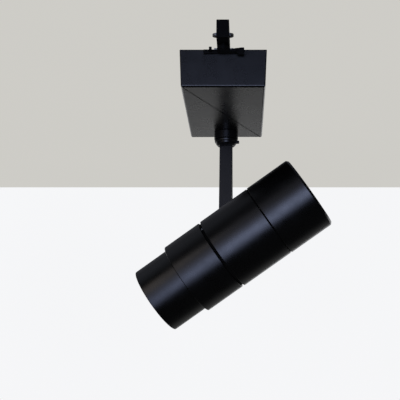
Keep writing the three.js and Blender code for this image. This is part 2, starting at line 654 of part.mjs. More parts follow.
function buildHead(tilting) {
  const head = new THREE.Group();
  head.position.set(-PIVOT.fromFront, -PIVOT.toAxis, -PIVOT.aboveAxis);
  tilting.add(head);

  addPart(head, "body_shell", bodyShell(), FINISH.satinBlack);
  addPart(head, "dust_seal", dustSeal(), FINISH.rubber);
  addPart(head, "seal_ring", ring("x", 46.5, 48.2, [177, 177.7], FINE), FINISH.rubber);
  addPart(head, "rear_housing", rearHousing(), FINISH.satinBlack);
  addPart(head, "heat_sink", heatSink(), FINISH.aluminium);
  addPart(head, "rear_cap", rearCap(), FINISH.satinBlack);
  capScrewPlaces().forEach((place, i) => {
    addPart(head, `cap_screw_${i + 1}`, capScrew(place), FINISH.blackSteel);
  });

  addPart(head, "led_board", block([148.1, 149.7], [-15, 15], [-15, 15]), FINISH.aluminium);
  addPart(head, "led_emitter", rod("x", 9, [146.9, 147.8], [0, 0], ROUND), FINISH.phosphor);
  addPart(head, "led_holder", ring("x", 9.8, 20, [144, 147.8]), FINISH.terminal);
  addPart(head, "reflector", reflector(), FINISH.mirror);
  addPart(head, "guide_tube", guideTube(), FINISH.blackPlastic);
  addPart(head, "field_lens", lens(GUIDE.bore - 0.4, 93.6, -3, -7), FINISH.glass);
  const { station, radius, angle, to } = STOP_SCREW;
  addPart(head, "stop_screw", radialRod(radius, [NECK.radius + GAP, to], station, 90 - angle), FINISH.steel);

  addPart(head, "zoom_ring", zoomRing(), FINISH.satinBlack);
  addPart(head, "front_barrel", frontBarrel(), FINISH.satinBlack);
  addPart(head, "front_lens", lens(BARREL.bore - 0.4, BARREL.seatRear + GAP, 3, 6), FINISH.glass);
  addPart(head, "lens_ring", ring("x", 39.4, BARREL.bore - 0.3, [16.8, 19.6]), FINISH.blackPlastic);
  CAM_PIN.angles.forEach((pinAngle, i) => {
    const pin = radialRod(CAM_PIN.radius, [CAM_PIN.from, CAM_PIN.to], CAM_PIN.station, pinAngle);
    addPart(head, `cam_pin_${i + 1}`, pin, FINISH.steel);
  });
}

// ---------- Assembly ----------

const spotlight = new THREE.Group();
const panning = new THREE.Group();
panning.rotation.z = THREE.MathUtils.degToRad(PAN_ANGLE);
spotlight.add(panning);

const tilting = new THREE.Group();
tilting.position.z = PIVOT.z;
tilting.rotation.y = -THREE.MathUtils.degToRad(TILT_ANGLE);
panning.add(tilting);

buildHousing(spotlight);
buildAdapter(spotlight);
buildSwivel(spotlight, panning);
buildArm(panning);
buildPivot(panning, tilting);
buildHead(tilting);

export default spotlight;
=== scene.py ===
"""Looks of the track spotlight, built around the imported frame.

Shapes are in millimetres until piece() places them.
"""

import json
import math

import bmesh
import bpy
from mathutils import Matrix, Vector

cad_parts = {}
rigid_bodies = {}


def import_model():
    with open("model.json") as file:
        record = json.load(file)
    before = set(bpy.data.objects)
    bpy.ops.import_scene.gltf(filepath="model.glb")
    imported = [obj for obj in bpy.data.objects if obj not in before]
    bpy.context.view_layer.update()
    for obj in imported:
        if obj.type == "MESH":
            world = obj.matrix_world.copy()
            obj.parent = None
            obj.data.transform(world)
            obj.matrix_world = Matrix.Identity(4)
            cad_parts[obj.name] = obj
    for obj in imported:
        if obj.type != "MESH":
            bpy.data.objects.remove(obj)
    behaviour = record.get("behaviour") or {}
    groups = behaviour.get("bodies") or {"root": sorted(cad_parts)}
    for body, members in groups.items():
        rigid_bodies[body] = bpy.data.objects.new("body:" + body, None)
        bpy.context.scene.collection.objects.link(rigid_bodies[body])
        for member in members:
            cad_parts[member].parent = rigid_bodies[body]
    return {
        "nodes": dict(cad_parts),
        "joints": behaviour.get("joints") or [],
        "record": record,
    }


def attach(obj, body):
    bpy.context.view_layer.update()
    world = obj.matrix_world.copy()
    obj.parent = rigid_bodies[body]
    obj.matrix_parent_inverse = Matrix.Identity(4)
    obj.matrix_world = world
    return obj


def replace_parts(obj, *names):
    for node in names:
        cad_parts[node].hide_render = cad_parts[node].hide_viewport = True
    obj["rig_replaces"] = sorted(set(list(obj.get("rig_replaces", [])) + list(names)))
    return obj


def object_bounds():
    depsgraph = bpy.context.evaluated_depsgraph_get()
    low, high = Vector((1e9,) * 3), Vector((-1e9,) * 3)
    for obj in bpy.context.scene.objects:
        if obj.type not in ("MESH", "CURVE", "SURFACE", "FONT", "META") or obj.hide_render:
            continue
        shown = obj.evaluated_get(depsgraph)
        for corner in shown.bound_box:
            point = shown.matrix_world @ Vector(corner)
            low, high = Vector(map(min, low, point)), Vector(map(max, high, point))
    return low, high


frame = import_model()
cad_low, cad_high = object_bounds()

# How many sides a turned shape has.
FINE = 144
MEDIUM = 96
ROUND = 64
SMALL = 32
HEX = 6

MERGE = 1e-4  # corners closer than this are one
LEVEL_SLACK = 1e-3  # corners this close to a flat level are put exactly on it

# ---------- Camera ----------

camera_data = bpy.data.cameras.new("camera")
camera = bpy.data.objects.new("camera", camera_data)
bpy.context.scene.collection.objects.link(camera)
bpy.context.scene.camera = camera
camera.location = (0.0241, -1.1328, -0.3943)
camera.rotation_euler = (math.radians(90 + 12.56), 0, 0)
camera_data.sensor_width = 36
camera_data.lens = 76.5
camera_data.shift_x = -0.10875
camera_data.shift_y = 0
camera_data.clip_end = 60
bpy.context.scene.view_settings.view_transform = "Standard"

# ---------- Frames of the parts ----------

JOINTS = {joint["name"]: joint for joint in frame["joints"]}
HEAD_AXIS = Vector(JOINTS["zoom_slide"]["axis"]).normalized()
ARM_NORMAL = Vector(JOINTS["tilt"]["axis"]).normalized()
PIVOT = Vector(JOINTS["tilt"]["pos_m"])
RIM = Vector(JOINTS["zoom_turn"]["pos_m"])


def placed(origin, x, y):
    """Turns millimetres in a part's own frame into metres in the row frame."""
    axes = Matrix((x, y, x.cross(y))).transposed().to_4x4()
    return Matrix.Translation(origin) @ axes @ Matrix.Scale(0.001, 4)


ROW = Matrix.Scale(0.001, 4)
ARM = placed(Vector((0, 0, 0)), ARM_NORMAL.cross(Vector((0, 0, 1))), ARM_NORMAL)
TILT = placed(PIVOT, HEAD_AXIS, ARM_NORMAL)
HEAD = placed(RIM, HEAD_AXIS, ARM_NORMAL)


def reach(node, matrix):
    """Lowest and highest corner of a CAD node in a part's own frame, in millimetres."""
    back = matrix.inverted()
    points = [back @ v.co for v in frame["nodes"][node].data.vertices]
    return (Vector([min(p[i] for p in points) for i in range(3)]),
            Vector([max(p[i] for p in points) for i in range(3)]))


# ---------- Materials ----------


def new_material(name):
    material = bpy.data.materials.new(name)
    material.use_nodes = True
    nodes, links = material.node_tree.nodes, material.node_tree.links
    return material, nodes, links, nodes["Principled BSDF"]


def noise(nodes, links, where, scale, detail=3.0, rough=0.5):
    texture = nodes.new("ShaderNodeTexNoise")
    texture.inputs["Scale"].default_value = scale
    texture.inputs["Detail"].default_value = detail
    texture.inputs["Roughness"].default_value = rough
    links.new(where, texture.inputs["Vector"])
    return texture.outputs["Fac"]


def ramp(nodes, links, value, stops):
    node = nodes.new("ShaderNodeValToRGB")
    elements = node.color_ramp.elements
    elements[0].position, elements[1].position = stops[0][0], stops[-1][0]
    for position, _ in stops[1:-1]:
        elements.new(position)
    for element, (_, color) in zip(elements, stops):
        element.color = (*color, 1)
    links.new(value, node.inputs["Fac"])
    return node.outputs["Color"]


def spread(nodes, links, value, low, high):
    node = nodes.new("ShaderNodeMapRange")
    node.inputs["From Min"].default_value = 0.3
    node.inputs["From Max"].default_value = 0.7
    node.inputs["To Min"].default_value = low
    node.inputs["To Max"].default_value = high
    links.new(value, node.inputs["Value"])
    return node.outputs["Result"]


def bumped(nodes, links, shader, height, strength, distance, normal=None):
    node = nodes.new("ShaderNodeBump")
    node.inputs["Strength"].default_value = strength
    node.inputs["Distance"].default_value = distance
    links.new(height, node.inputs["Height"])
    if normal is not None:
        links.new(normal, node.inputs["Normal"])
    links.new(node.outputs["Normal"], shader.inputs["Normal"])
    return node.outputs["Normal"]


def scaled(color, factor):
    return tuple(channel * factor for channel in color)


def coated(name, color, roughness, grain=1500, depth=0.00003, edge_wear_and_highlight=1.5, specular=0.5):
    """A sprayed or moulded surface: cloudy tone, uneven gloss, fine grain, and edges lightened in the base
    colour, partly as worn paint and partly as a painted edge highlight.
    """
    material, nodes, links, shader = new_material(name)
    where = nodes.new("ShaderNodeTexCoord").outputs["Object"]
    tone = ramp(nodes, links, noise(nodes, links, where, 38, 4),
                [(0.3, scaled(color, 0.82)), (0.52, color), (0.72, scaled(color, 1.2))])
    # Edges found by Pointiness are lightened in the base colour: partly worn paint, partly a painted
    # highlight where rounded edges catch light.
    edges = nodes.new("ShaderNodeNewGeometry").outputs["Pointiness"]
    worn_and_highlit_edges = ramp(nodes, links, edges, [(0.5, (0, 0, 0)), (0.62, (1, 1, 1))])
    mix = nodes.new("ShaderNodeMix")
    mix.data_type = "RGBA"
    mix.inputs["B"].default_value = (*scaled(color, edge_wear_and_highlight), 1)
    links.new(worn_and_highlit_edges, mix.inputs["Factor"])
    links.new(tone, mix.inputs["A"])
    links.new(mix.outputs["Result"], shader.inputs["Base Color"])
    gloss = noise(nodes, links, where, 55, 5, 0.6)
    links.new(spread(nodes, links, gloss, roughness - 0.04, roughness + 0.04), shader.inputs["Roughness"])
    peel = bumped(nodes, links, shader, noise(nodes, links, where, grain * 0.3, 2), 0.25, depth * 2)
    bumped(nodes, links, shader, noise(nodes, links, where, grain, 3, 0.6), 0.35, depth, peel)
    shader.inputs["Specular IOR Level"].default_value = specular
    return material


def metal(name, color, roughness, stretch=(1, 1, 30), grain=900):
    """Bare metal with fine machining lines drawn along one direction."""
    material, nodes, links, shader = new_material(name)
    where = nodes.new("ShaderNodeTexCoord").outputs["Object"]
    lines = nodes.new("ShaderNodeMapping")
    lines.inputs["Scale"].default_value = stretch
    links.new(where, lines.inputs["Vector"])
    grooves = noise(nodes, links, lines.outputs["Vector"], grain, 4, 0.6)
    tone = ramp(nodes, links, grooves, [(0.3, scaled(color, 0.8)), (0.7, color)])
    links.new(tone, shader.inputs["Base Color"])
    links.new(spread(nodes, links, grooves, roughness - 0.08, roughness + 0.08), shader.inputs["Roughness"])
    bumped(nodes, links, shader, grooves, 0.2, 0.00002)
    shader.inputs["Metallic"].default_value = 1.0
    return material


def glass(name):
    material, nodes, links, shader = new_material(name)
    where = nodes.new("ShaderNodeTexCoord").outputs["Object"]
    links.new(spread(nodes, links, noise(nodes, links, where, 60, 3), 0.01, 0.05), shader.inputs["Roughness"])
    clouds = noise(nodes, links, where, 20, 2)
    tone = ramp(nodes, links, clouds, [(0.3, (0.95, 0.97, 0.98)), (0.7, (0.99, 1, 1))])
    links.new(tone, shader.inputs["Base Color"])
    shader.inputs["Transmission Weight"].default_value = 1.0
    shader.inputs["IOR"].default_value = 1.5
    return material


BLACK = (0.0012, 0.0012, 0.0014)
# Each material's edge factor sets how much lighter its edges are painted: partly worn paint, partly a painted
# edge highlight.
MATERIALS = {
    "black_paint": coated("black_paint", BLACK, 0.29),
    "arm_paint": coated("arm_paint", (0.003, 0.003, 0.004), 0.34, specular=0.32),
    "black_steel": coated("black_steel", (0.004, 0.004, 0.005), 0.34, grain=2600, depth=0.00001,
                          edge_wear_and_highlight=3, specular=0.4),
    "bright_steel": metal("bright_steel", (0.56, 0.57, 0.58), 0.28),
    "bare_aluminium": metal("bare_aluminium", (0.6, 0.61, 0.62), 0.38),
    "copper": metal("copper", (0.72, 0.4, 0.22), 0.25),
    "black_plastic": coated("black_plastic", (0.0022, 0.0022, 0.0028), 0.55, grain=3000, depth=0.00002,
                            edge_wear_and_highlight=1.3, specular=0.08),
    "pale_plastic": coated("pale_plastic", (0.6, 0.61, 0.58), 0.42, grain=2600, depth=0.00001, edge_wear_and_highlight=1.05),
    "black_rubber": coated("black_rubber", (0.003, 0.003, 0.003), 0.75, grain=1200, depth=0.00003, edge_wear_and_highlight=1.1,
                           specular=0.05),
    "circuit_board": coated("circuit_board", (0.02, 0.12, 0.05), 0.4, grain=800, depth=0.00002, edge_wear_and_highlight=1.1),
    "ferrite": coated("ferrite", (0.03, 0.03, 0.03), 0.65, grain=1500, depth=0.00004),
    "capacitor_sleeve": coated("capacitor_sleeve", (0.02, 0.03, 0.08), 0.3, depth=0.00001),
    "red_sleeve": coated("red_sleeve", (0.35, 0.02, 0.02), 0.4, depth=0.00001),
    "black_sleeve": coated("black_sleeve", (0.01, 0.01, 0.01), 0.4, depth=0.00001),
    "lens_glass": glass("lens_glass"),
    "mirror_coat": metal("mirror_coat", (0.86, 0.87, 0.88), 0.12, (1, 1, 1), 260),
    "phosphor": coated("phosphor", (0.8, 0.6, 0.12), 0.5, grain=2000, depth=0.00002, edge_wear_and_highlight=1.05),
}

# ---------- Shapes ----------


def new_object(mesh_source, name="shape"):
    mesh = bpy.data.meshes.new(name)
    mesh_source.to_mesh(mesh)
    mesh_source.free()
    shape = bpy.data.objects.new(name, mesh)
    bpy.context.scene.collection.objects.link(shape)
    return shape


def rounded(outline, closed):
    """Points of an outline whose corners (x, y, radius) are rounded by their own radius."""
    points = []
    for i, corner in enumerate(outline):
        here = Vector(corner[:2])
        radius = corner[2] if len(corner) > 2 else 0
        if radius == 0 or (not closed and i in (0, len(outline) - 1)):
            points.append(tuple(here))
            continue
        before = Vector(outline[i - 1][:2]) - here
        after = Vector(outline[(i + 1) % len(outline)][:2]) - here
        half = before.angle(after) / 2
        run = min(radius / math.tan(half), before.length * 0.49, after.length * 0.49)
        radius = run * math.tan(half)
        centre = here + (before.normalized() + after.normalized()).normalized() * (radius / math.sin(half))
        start = here + before.normalized() * run - centre
        end = here + after.normalized() * run - centre
        first = math.atan2(start.y, start.x)
        swing = math.remainder(math.atan2(end.y, end.x) - first, 2 * math.pi)
        steps = max(2, math.ceil(abs(swing) / math.radians(18)))
        for step in range(steps + 1):
            angle = first + swing * step / steps
            points.append((centre.x + radius * math.cos(angle), centre.y + radius * math.sin(angle)))
    return points


def lathe(outline, axis="x", sides=FINE, at=(0, 0)):
    """A turned shape from (radius, station, corner radius) points, about an axis through `at`."""
    on_axis = outline[0][0] == 0 and outline[-1][0] == 0
    profile = rounded(outline, not on_axis)
    bm = bmesh.new()

    def spot(radius, station, step):
        a = at[0] + radius * math.cos(2 * math.pi * step / sides)
        b = at[1] + radius * math.sin(2 * math.pi * step / sides)
        return bm.verts.new({"x": (station, a, b), "y": (a, station, b), "z": (a, b, station)}[axis])

    rings = [[spot(radius, station, step) for step in range(sides if radius > 1e-6 else 1)]
             for radius, station in profile]
    for low, high in zip(rings, rings[1:] + ([] if on_axis else rings[:1])):
        if len(low) == 1 and len(high) == 1:
            continue
        for k in range(sides):
            m = (k + 1) % sides
            if len(low) == 1:
                bm.faces.new((low[0], high[k], high[m]))
            elif len(high) == 1:
                bm.faces.new((low[k], high[0], low[m]))
            else:
                bm.faces.new((low[k], high[k], high[m], low[m]))
    bmesh.ops.recalc_face_normals(bm, faces=bm.faces)
    return new_object(bm)


def rod(axis, radius, span, at=(0, 0), sides=SMALL, edge=0.0):
    """A round bar with its end edges broken."""
    start, end = span
    return lathe([(0, start), (radius, start, edge), (radius, end, edge), (0, end)], axis, sides, at)


def slab(x, y, z, edge=0.5, segments=3):
    """A block between limits along each axis, all its edges rounded."""
    bm = bmesh.new()
    bmesh.ops.create_cube(bm, size=1)
    for vertex in bm.verts:
        vertex.co = Vector([limits[c > 0] for limits, c in zip((x, y, z), vertex.co)])
    if edge:
        bmesh.ops.bevel(bm, geom=bm.edges[:], offset=edge, segments=segments, profile=0.5, affect="EDGES")
    bmesh.ops.recalc_face_normals(bm, faces=bm.faces)
    return new_object(bm)


def plate(outline, span, axis="z", edge=0.5):
    """A flat outline with rounded corners, thick along an axis, its rims rounded."""
    bm = bmesh.new()
    points = rounded(outline, True)
    orders = {
        "x": lambda a, b, c: (c, a, b),
        "y": lambda a, b, c: (a, c, b),
        "z": lambda a, b, c: (a, b, c),
    }
    order = orders[axis]
    low, high = ([bm.verts.new(order(a, b, level)) for a, b in points] for level in span)
    caps = [bm.faces.new(low), bm.faces.new(high)]
    for k in range(len(points)):
        m = (k + 1) % len(points)
        bm.faces.new((low[k], low[m], high[m], high[k]))
    rims = [e for cap in caps for e in cap.edges]
    if edge:
        bmesh.ops.bevel(bm, geom=rims, offset=edge, segments=3, profile=0.5, affect="EDGES")
    bmesh.ops.recalc_face_normals(bm, faces=bm.faces)
    return new_object(bm)


def cleaned(mesh):
    """Merges corners that coincide, drops slivers and leaves only triangles."""
    bm = bmesh.new()
    bm.from_mesh(mesh)
    bmesh.ops.remove_doubles(bm, verts=bm.verts, dist=MERGE)
    bmesh.ops.dissolve_degenerate(bm, edges=bm.edges, dist=MERGE)
    bmesh.ops.triangulate(bm, faces=bm.faces)
    bm.to_mesh(mesh)
    bm.free()


def combined(base, others, operation):
    for shape in (base, *others):
        cleaned(shape.data)
    for other in others:
        step = base.modifiers.new("step", "BOOLEAN")
        step.operation, step.solver, step.object = operation, "EXACT", other
    bpy.context.view_layer.update()
    made = bpy.data.meshes.new_from_object(base.evaluated_get(bpy.context.evaluated_depsgraph_get()))
    base.modifiers.clear()
    base.data = made
    cleaned(made)
    for other in others:
        bpy.data.objects.remove(other)
    return base


def cut(base, *tools):
    return combined(base, tools, "DIFFERENCE")


def join(base, *others):
    return combined(base, others, "UNION")


def turned(shape, axis, degrees):
    shape.data.transform(Matrix.Rotation(math.radians(degrees), 4, axis))
    return shape


def moved(shape, x=0, y=0, z=0):
    shape.data.transform(Matrix.Translation((x, y, z)))
    return shape


def piece(shape, name, body, slot, matrix, *nodes, sharp=35):
    """Places a finished shape, gives it its material, and ties it to its body and its CAD nodes."""
    shape.name = shape.data.name = name
    shape.data.transform(matrix)
    for polygon in shape.data.polygons:
        polygon.use_smooth = True
    shape.data.set_sharp_from_angle(angle=math.radians(sharp))
    even = shape.modifiers.new("even_normals", "WEIGHTED_NORMAL")
    even.keep_sharp = True
    even.weight = 100
    shape.data.materials.clear()
    shape.data.materials.append(MATERIALS[slot])
    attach(shape, body)
    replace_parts(shape, *nodes)
    return shape


# ---------- Driver housing ----------

housing_low, housing_high = reach("driver_housing", ROW)
DRAFT = 2 / 46
WALL = 2.2
FLOOR = housing_low.z + WALL


def drafted(inset, top, bottom, corner, top_edge, bottom_edge):
    """The housing's block shape, set in from its walls.

    The upright corners are rounded first, then the edges round top and bottom.
    """
    bm = bmesh.new()
    bmesh.ops.create_cube(bm, size=1)
    for vertex in bm.verts:
        z = top if vertex.co.z > 0 else bottom
        lean = DRAFT * z - inset
        vertex.co = Vector((
            housing_high.x + lean if vertex.co.x > 0 else housing_low.x - lean,
            housing_high.y + lean if vertex.co.y > 0 else housing_low.y - lean,
            z,
        ))

    def edges_at(test):
        return [edge for edge in bm.edges if test(edge.verts[0].co.z, edge.verts[1].co.z)]

    bmesh.ops.bevel(bm, geom=edges_at(lambda a, b: abs(a - b) > 1), offset=corner, segments=5, profile=0.5,
                    affect="EDGES")
    for level, radius in ((bottom, bottom_edge), (top, top_edge)):
        if radius:
            rim = edges_at(lambda a, b: abs(a - level) < 1e-4 and abs(b - level) < 1e-4)
            bmesh.ops.bevel(bm, geom=rim, offset=radius, segments=5, profile=0.5, affect="EDGES")
    for vertex in bm.verts:
        for level in (bottom, top):
            if abs(vertex.co.z - level) < LEVEL_SLACK:
                vertex.co.z = level
    bmesh.ops.recalc_face_normals(bm, faces=bm.faces)
    return new_object(bm)


screw_boxes = [reach(f"lid_screw_{i}", ROW) for i in (1, 2, 3, 4)]
screw_places = [((low.x + high.x) / 2, (low.y + high.y) / 2) for low, high in screw_boxes]
board_low, board_high = reach("driver_board", ROW)

housing = cut(
    drafted(0, 0, housing_low.z, 1.3, 0.35, 2.4),
    drafted(WALL, 1, FLOOR, 1.0, 0, 0),
)
posts = [rod("z", 4, (FLOOR - 1, -2.8), place) for place in screw_places]
standoffs = [rod("z", 3, (FLOOR - 1, board_low.z - 0.3), (side * (board_high.x - 5), y))
             for side in (-1, 1) for y in (board_low.y + 6, board_high.y - 6)]
housing = join(housing, *posts, *standoffs)
housing = cut(housing, *[rod("z", 1.6, (-14, 0), place) for place in screw_places],
              rod("z", 5.6, (housing_low.z - 1, FLOOR + 1)))
piece(housing, "housing_shell", "housing", "black_paint", ROW, "driver_housing")

lid_low, lid_high = reach("housing_lid", ROW)
lid = slab((lid_low.x, lid_high.x), (lid_low.y, lid_high.y), (lid_low.z, lid_high.z), 0.35)
SINK = [(0, -4), (1.8, -4), (1.8, -1.9), (3.7, 0.1), (0, 0.1)]
sinks = [lathe(SINK, "z", SMALL, place) for place in screw_places]
lid = cut(lid, *sinks, slab((-3.5, 3.5), (-132, -122), (-4, 1), 0))
piece(lid, "lid_plate", "housing", "black_paint", ROW, "housing_lid")

for number, place in enumerate(screw_places, 1):
    screw = lathe([(0, -12), (1.3, -12, 0.3), (1.3, -2), (3, -0.3, 0.15), (0, -0.3)], "z", SMALL, place)
    screw = cut(screw, rod("z", 1.1, (-1.6, 1), place, HEX))
    piece(screw, f"lid_countersunk_{number}", "housing", "black_steel", ROW, f"lid_screw_{number}")

# ---------- Track adapter ----------

beam_low, beam_high = reach("adapter_body", ROW)
HALF_BEAM = beam_high.x
LEVER_Y = JOINTS["track_lock"]["pos_m"][1] * 1000
ROTOR_YS = [JOINTS[f"{end}_contact_turn"]["pos_m"][1] * 1000 for end in ("front", "rear")]
DIAL_Y = JOINTS["circuit_select"]["pos_m"][1] * 1000

beam = join(
    slab((-HALF_BEAM, HALF_BEAM), (beam_low.y, beam_high.y), (3, beam_high.z), 0.7),
    slab((-HALF_BEAM, HALF_BEAM), (housing_low.y + 1.8, beam_high.y), (0.3, 4), 0.25),
)
pockets = [
    slab((-9, 9), (LEVER_Y - 13.5, LEVER_Y + 13.5), (11.7, 15.3), 0),
    rod("z", 2.9, (2, 12.5), (0, LEVER_Y)),
]
for y in ROTOR_YS:
    pockets += [slab((-9, 9), (y - 14.6, y + 14.6), (9.7, 16.3), 0), rod("z", 2.3, (6.7, 19.3), (0, y))]
pockets += [rod("z", 5.5, (21, 26), (0, DIAL_Y), ROUND), slab((-3, 3), (-130, -124), (-1, 8), 0)]
for side in (-1, 1):
    edge = side * HALF_BEAM
    for level in (6.4, 19.6):
        pockets.append(slab(sorted((edge - side * 0.6, edge + side)), (beam_low.y + 5, beam_high.y - 5),
                            (level, level + 1.1), 0))
pockets += [slab((-4.6, 4.6), (y - 5, y + 5), (24.4, 26), 0) for y in (-180, -127.5, -90)]
piece(cut(beam, *pockets), "adapter_beam", "housing", "black_plastic", ROW, "adapter_body")

plate_low, plate_high = reach("adapter_end_plate", ROW)
yoke_y = (plate_high.y - 3, plate_high.y)
yoke = join(
    slab((plate_low.x, 17), yoke_y, (plate_low.z, -1), 0.5),
    slab((-6, 6), yoke_y, (-2, plate_high.z), 0.5),
    slab((-16.6, -13.4), (plate_low.y, yoke_y[0] + 1), (-4.5, -0.8), 0.4),
)
piece(yoke, "adapter_yoke", "housing", "black_plastic", ROW, "adapter_end_plate")

lever_low, lever_high = reach("lock_lever", ROW)
TAB = {"y": (-193.4, -189.2), "from": 17.4, "bottom": lever_low.z}
REACH = lever_high.x
DISC_TOP, NECK_TOP = -0.6, -2.9
lever_side = [
    (0, -5.6), (TAB["from"] - 1.4, -5.6, 0.8),
    (TAB["from"], TAB["bottom"] + 0.4), (TAB["from"] + 1, TAB["bottom"]),
    (REACH - 0.8, TAB["bottom"]), (REACH, TAB["bottom"] + 1),
    (REACH, DISC_TOP), (REACH - 2.4, DISC_TOP + 0.3),
    (TAB["from"] - 3, -1.5, 3), (TAB["from"] - 9, NECK_TOP, 2), (0, NECK_TOP),
]
lever = join(
    rod("z", 6.8, (-5.8, DISC_TOP), (0, LEVER_Y), ROUND, 0.5),
    plate(lever_side, TAB["y"], "y", 0.45),
    rod("z", 2.6, (-5.3, lever_high.z), (0, LEVER_Y), SMALL, 0.3),
)
grips = [slab((REACH - 0.4, REACH + 1), (y, y + 0.6), (TAB["bottom"] + 1.5, -2.4), 0)
         for y in (-192.6, -191.3, -190)]
piece(cut(lever, *grips), "locking_lever", "track_lever", "black_plastic", ROW, "lock_lever")

cam_low, cam_high = reach("lock_cam", ROW)
CAM_HALF = (cam_high.y - cam_low.y) / 2
cam_corners = [
    (cam_low.x, -CAM_HALF), (cam_high.x, -CAM_HALF),
    (cam_high.x, CAM_HALF), (cam_low.x, CAM_HALF),
]
cam_outline = [(x, LEVER_Y + y, CAM_HALF - 0.01) for x, y in cam_corners]
cam = cut(plate(cam_outline, (cam_low.z, cam_high.z), "z", 0.3), rod("z", 2.9, (11, 16), (0, LEVER_Y)))
piece(cam, "locking_cam", "track_lever", "bright_steel", ROW, "lock_cam")

for end, y in zip(("front", "rear"), ROTOR_YS):
    rotor = join(
        rod("z", 6.2, (10, 16), (0, y), ROUND, 0.4),
        slab((-12.2, 12.2), (y - 3.6, y + 3.6), (10.6, 15.4), 0.6),
        rod("z", 2, (7, 19), (0, y), SMALL, 0.2),
    )
    rotor = cut(rotor, slab((-14, 14), (y - 2.3, y + 2.3), (12.2, 13.8), 0))
    piece(rotor, f"contact_arm_{end}", f"{end}_contact", "pale_plastic", ROW, f"contact_rotor_{end}")
    blade = slab((-14, 14), (y - 2, y + 2), (12.5, 13.5), 0.25)
    piece(blade, f"contact_strip_{end}", f"{end}_contact", "copper", ROW, f"contact_blade_{end}")

dial_low, dial_high = reach("circuit_dial", ROW)
dial = rod("z", 5.2, (dial_low.z, dial_high.z), (0, DIAL_Y), ROUND, 0.4)
notches = [slab((4.7, 6), (-0.4, 0.4), (dial_high.z - 2, dial_high.z + 1), 0) for _ in range(12)]
for k, notch in enumerate(notches):
    moved(turned(notch, "Z", 15 + 30 * k), 0, DIAL_Y, 0)
driver_slot = slab((-0.6, 0.6), (DIAL_Y - 3.6, DIAL_Y + 3.6), (dial_high.z - 1.2, dial_high.z + 1), 0)
dial = cut(dial, driver_slot, *notches)
piece(dial, "circuit_knob", "circuit_selector", "pale_plastic", ROW, "circuit_dial")

# ---------- Pan swivel ----------

base_low, base_high = reach("swivel_base", ROW)
COLLAR_RADIUS, COLLAR_BOTTOM = 16.4, -56.6
SPIGOT_RADIUS, SPIGOT_BORE = 8.4, 5.4
swivel = lathe([
    (SPIGOT_BORE, base_high.z), (COLLAR_RADIUS, base_high.z, 0.4), (COLLAR_RADIUS, COLLAR_BOTTOM, 0.5),
    (SPIGOT_RADIUS, COLLAR_BOTTOM), (SPIGOT_RADIUS, base_low.z, 0.3), (SPIGOT_BORE, base_low.z),
], "z", MEDIUM)
piece(swivel, "swivel_collar", "housing", "arm_paint", ROW, "swivel_base")
brake = lathe([(8.8, -57.3), (15.4, -57.3, 0.15), (15.4, -56.9, 0.15), (8.8, -56.9)], "z", MEDIUM)
piece(brake, "brake_washer", "housing", "black_rubber", ROW, "brake_ring")

hub_low, hub_high = reach("swivel_hub", ARM)
hub = lathe([
    (0, -62.8), (8.8, -62.8), (8.8, hub_high.z), (16, hub_high.z, 0.5), (15.5, -60.4, 0.5),
    (14.4, -60.9, 0.2), (13.7, -63.3, 0.8), (11.6, hub_low.z, 0.4), (0, hub_low.z),
], "z", MEDIUM)
LOCK_Z = -60.8
hub = cut(
    hub,
    slab((-9, 9), (-3.3, 3.3), (hub_low.z - 1, -61.8), 0),
    rod("x", 1.8, (7.8, 17.4), (0, LOCK_Z)),
    rod("x", 2.5, (13.1, 18.4), (0, LOCK_Z)),
)
piece(hub, "swivel_cup", "arm", "arm_paint", ARM, "swivel_hub")

lock_screw = join(
    rod("x", 2.2, (13.4, 18.2), (0, LOCK_Z), SMALL, 0.3),
    rod("x", 1.5, (9.2, 14.4), (0, LOCK_Z), SMALL, 0.2),
)
lock_screw = cut(lock_screw, rod("x", 1.4, (16.6, 19.2), (0, LOCK_Z), HEX))
piece(lock_screw, "pan_locking_screw", "pan_lock", "black_steel", ARM, "pan_lock_screw")

# ---------- Side arm ----------

HALF_WIDTH, HALF_DEPTH, END_RADIUS, PIVOT_Z, ARM_TOP = 8.7, 3.0, 11.0, -200.0, -62.5
CHANNEL = (-178.0, -68.2)
shoulder = math.asin(HALF_WIDTH / END_RADIUS)
ARC_STEPS = 28
arc = [(END_RADIUS * math.sin(a), PIVOT_Z + END_RADIUS * math.cos(a))
       for a in (shoulder + (2 * math.pi - 2 * shoulder) * k / ARC_STEPS for k in range(ARC_STEPS + 1))]
bar = plate([(-HALF_WIDTH, ARM_TOP), (HALF_WIDTH, ARM_TOP), *arc], (-HALF_DEPTH, HALF_DEPTH), "y", 0.7)
bar = join(bar, rod("z", 5, (ARM_TOP - 1.6, -29), (0, 0), SMALL, 0.4))
bar = cut(
    bar,
    slab((-5, 5), (-0.4, 4), CHANNEL, 0),
    rod("z", 3.2, (ARM_TOP + 1.5, -28)),
    rod("z", 2.2, (CHANNEL[1] - 2, ARM_TOP + 2)),
    rod("y", 3.4, (-4, 4), (0, PIVOT_Z)),
)
piece(bar, "side_arm", "arm", "arm_paint", ARM, "arm")
cover = slab((-4.7, 4.7), (1.6, 3), (CHANNEL[0] + 0.3, CHANNEL[1] - 0.3), 0.3)
piece(cover, "channel_cover", "arm", "black_plastic", ARM, "arm_cover")

# ---------- Tilt pivot ----------

LUG_FACE = -5.2
BODY_RADIUS, TO_AXIS, ABOVE_AXIS = 49.4, 56.4, 24.9
lug = cut(
    slab((-6.4, 16), (-23, LUG_FACE), (-10, 10), 1.6, 4),
    rod("x", BODY_RADIUS + 0.3, (-30, 40), (-TO_AXIS, -ABOVE_AXIS), FINE),
    rod("y", 3.2, (-12.3, LUG_FACE + 1)),
)
piece(lug, "hinge_lug", "head", "black_paint", TILT, "hinge_block")
washer = lathe([(3.4, -4.9), (10, -4.9, 0.3), (10, -3.3, 0.3), (3.4, -3.3)], "y", ROUND)
piece(washer, "tilt_friction_washer", "head", "black_plastic", TILT, "tilt_washer")

